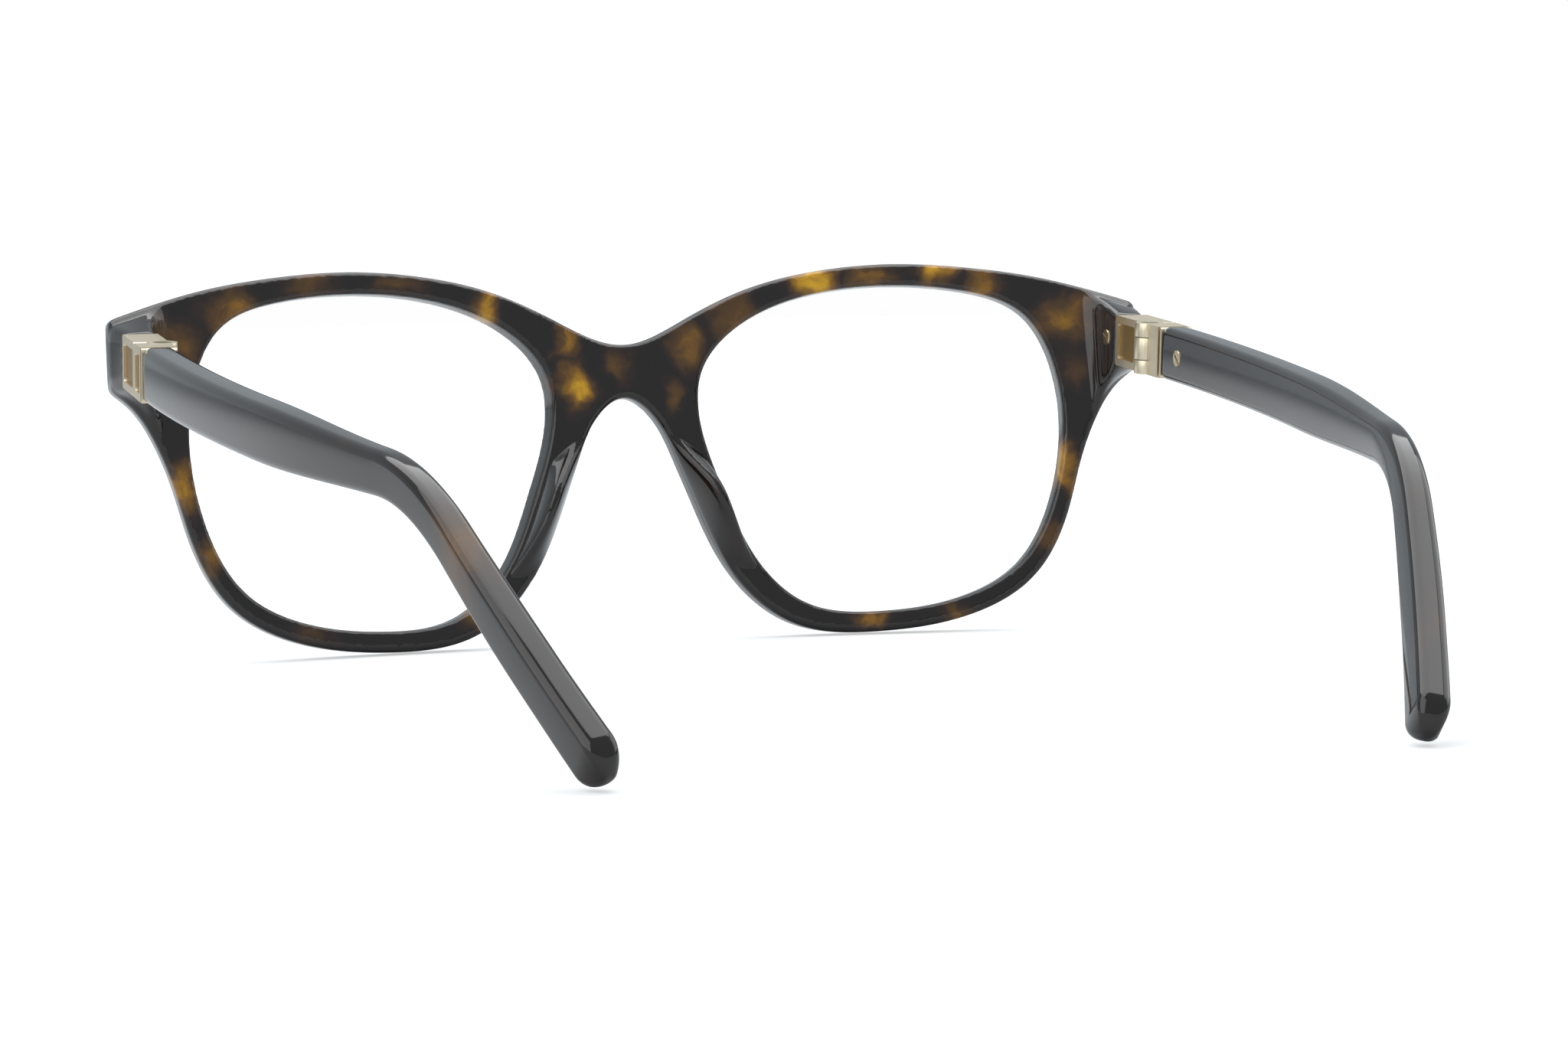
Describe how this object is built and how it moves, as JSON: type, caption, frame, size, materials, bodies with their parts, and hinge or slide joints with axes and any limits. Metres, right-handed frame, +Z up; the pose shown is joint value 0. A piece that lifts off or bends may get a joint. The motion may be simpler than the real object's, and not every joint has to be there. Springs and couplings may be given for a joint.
{
  "type": "eyeglasses frame",
  "caption": "Tortoiseshell acetate eyeglasses frame with rounded lenses, built-up nose pads, a saddle bridge and temples that fold on gilt screw hinges.",
  "frame": {"origin": "on the table, under the middle of the frame's bounding box, temples open", "axes": "+X to the wearer's left, +Y back along the open temples, +Z up; the front faces -Y"},
  "size_m": [0.1408, 0.157, 0.0504],
  "materials": {
    "acetate": "polished dark tortoiseshell with amber patches",
    "pad_acetate": "polished",
    "lens": "clear demonstration lens",
    "gilt_metal": "pale champagne gilt, satin with polished edges",
    "gilt_screw": "bright gilt",
    "core_metal": "drawn wire"
  },
  "bodies": {
    "front": {"front_frame": "acetate", "lens_left": "lens", "nose_pad_left": "pad_acetate", "front_hinge_half_left": "gilt_metal", "hinge_screw_left": "gilt_screw", "end_piece_screw_left": "gilt_screw", "lens_right": "lens", "nose_pad_right": "pad_acetate", "front_hinge_half_right": "gilt_metal", "hinge_screw_right": "gilt_screw", "end_piece_screw_right": "gilt_screw"},
    "left_temple": {"temple_left": "acetate", "temple_hinge_half_left": "gilt_metal", "temple_screw_left": "gilt_screw", "core_wire_left": "core_metal"},
    "right_temple": {"temple_right": "acetate", "temple_hinge_half_right": "gilt_metal", "temple_screw_right": "gilt_screw", "core_wire_right": "core_metal"}
  },
  "joints": [
    {"name": "left_temple_fold", "type": "hinge", "parent": "front", "child": "left_temple", "pos_m": [0.066, -0.04991, 0.03868], "axis": [0, 0.0993, 0.9951], "range_deg": [0, 79]},
    {"name": "right_temple_fold", "type": "hinge", "parent": "front", "child": "right_temple", "pos_m": [-0.066, -0.04991, 0.03868], "axis": [0, -0.0993, -0.9951], "range_deg": [0, 84]}
  ]
}
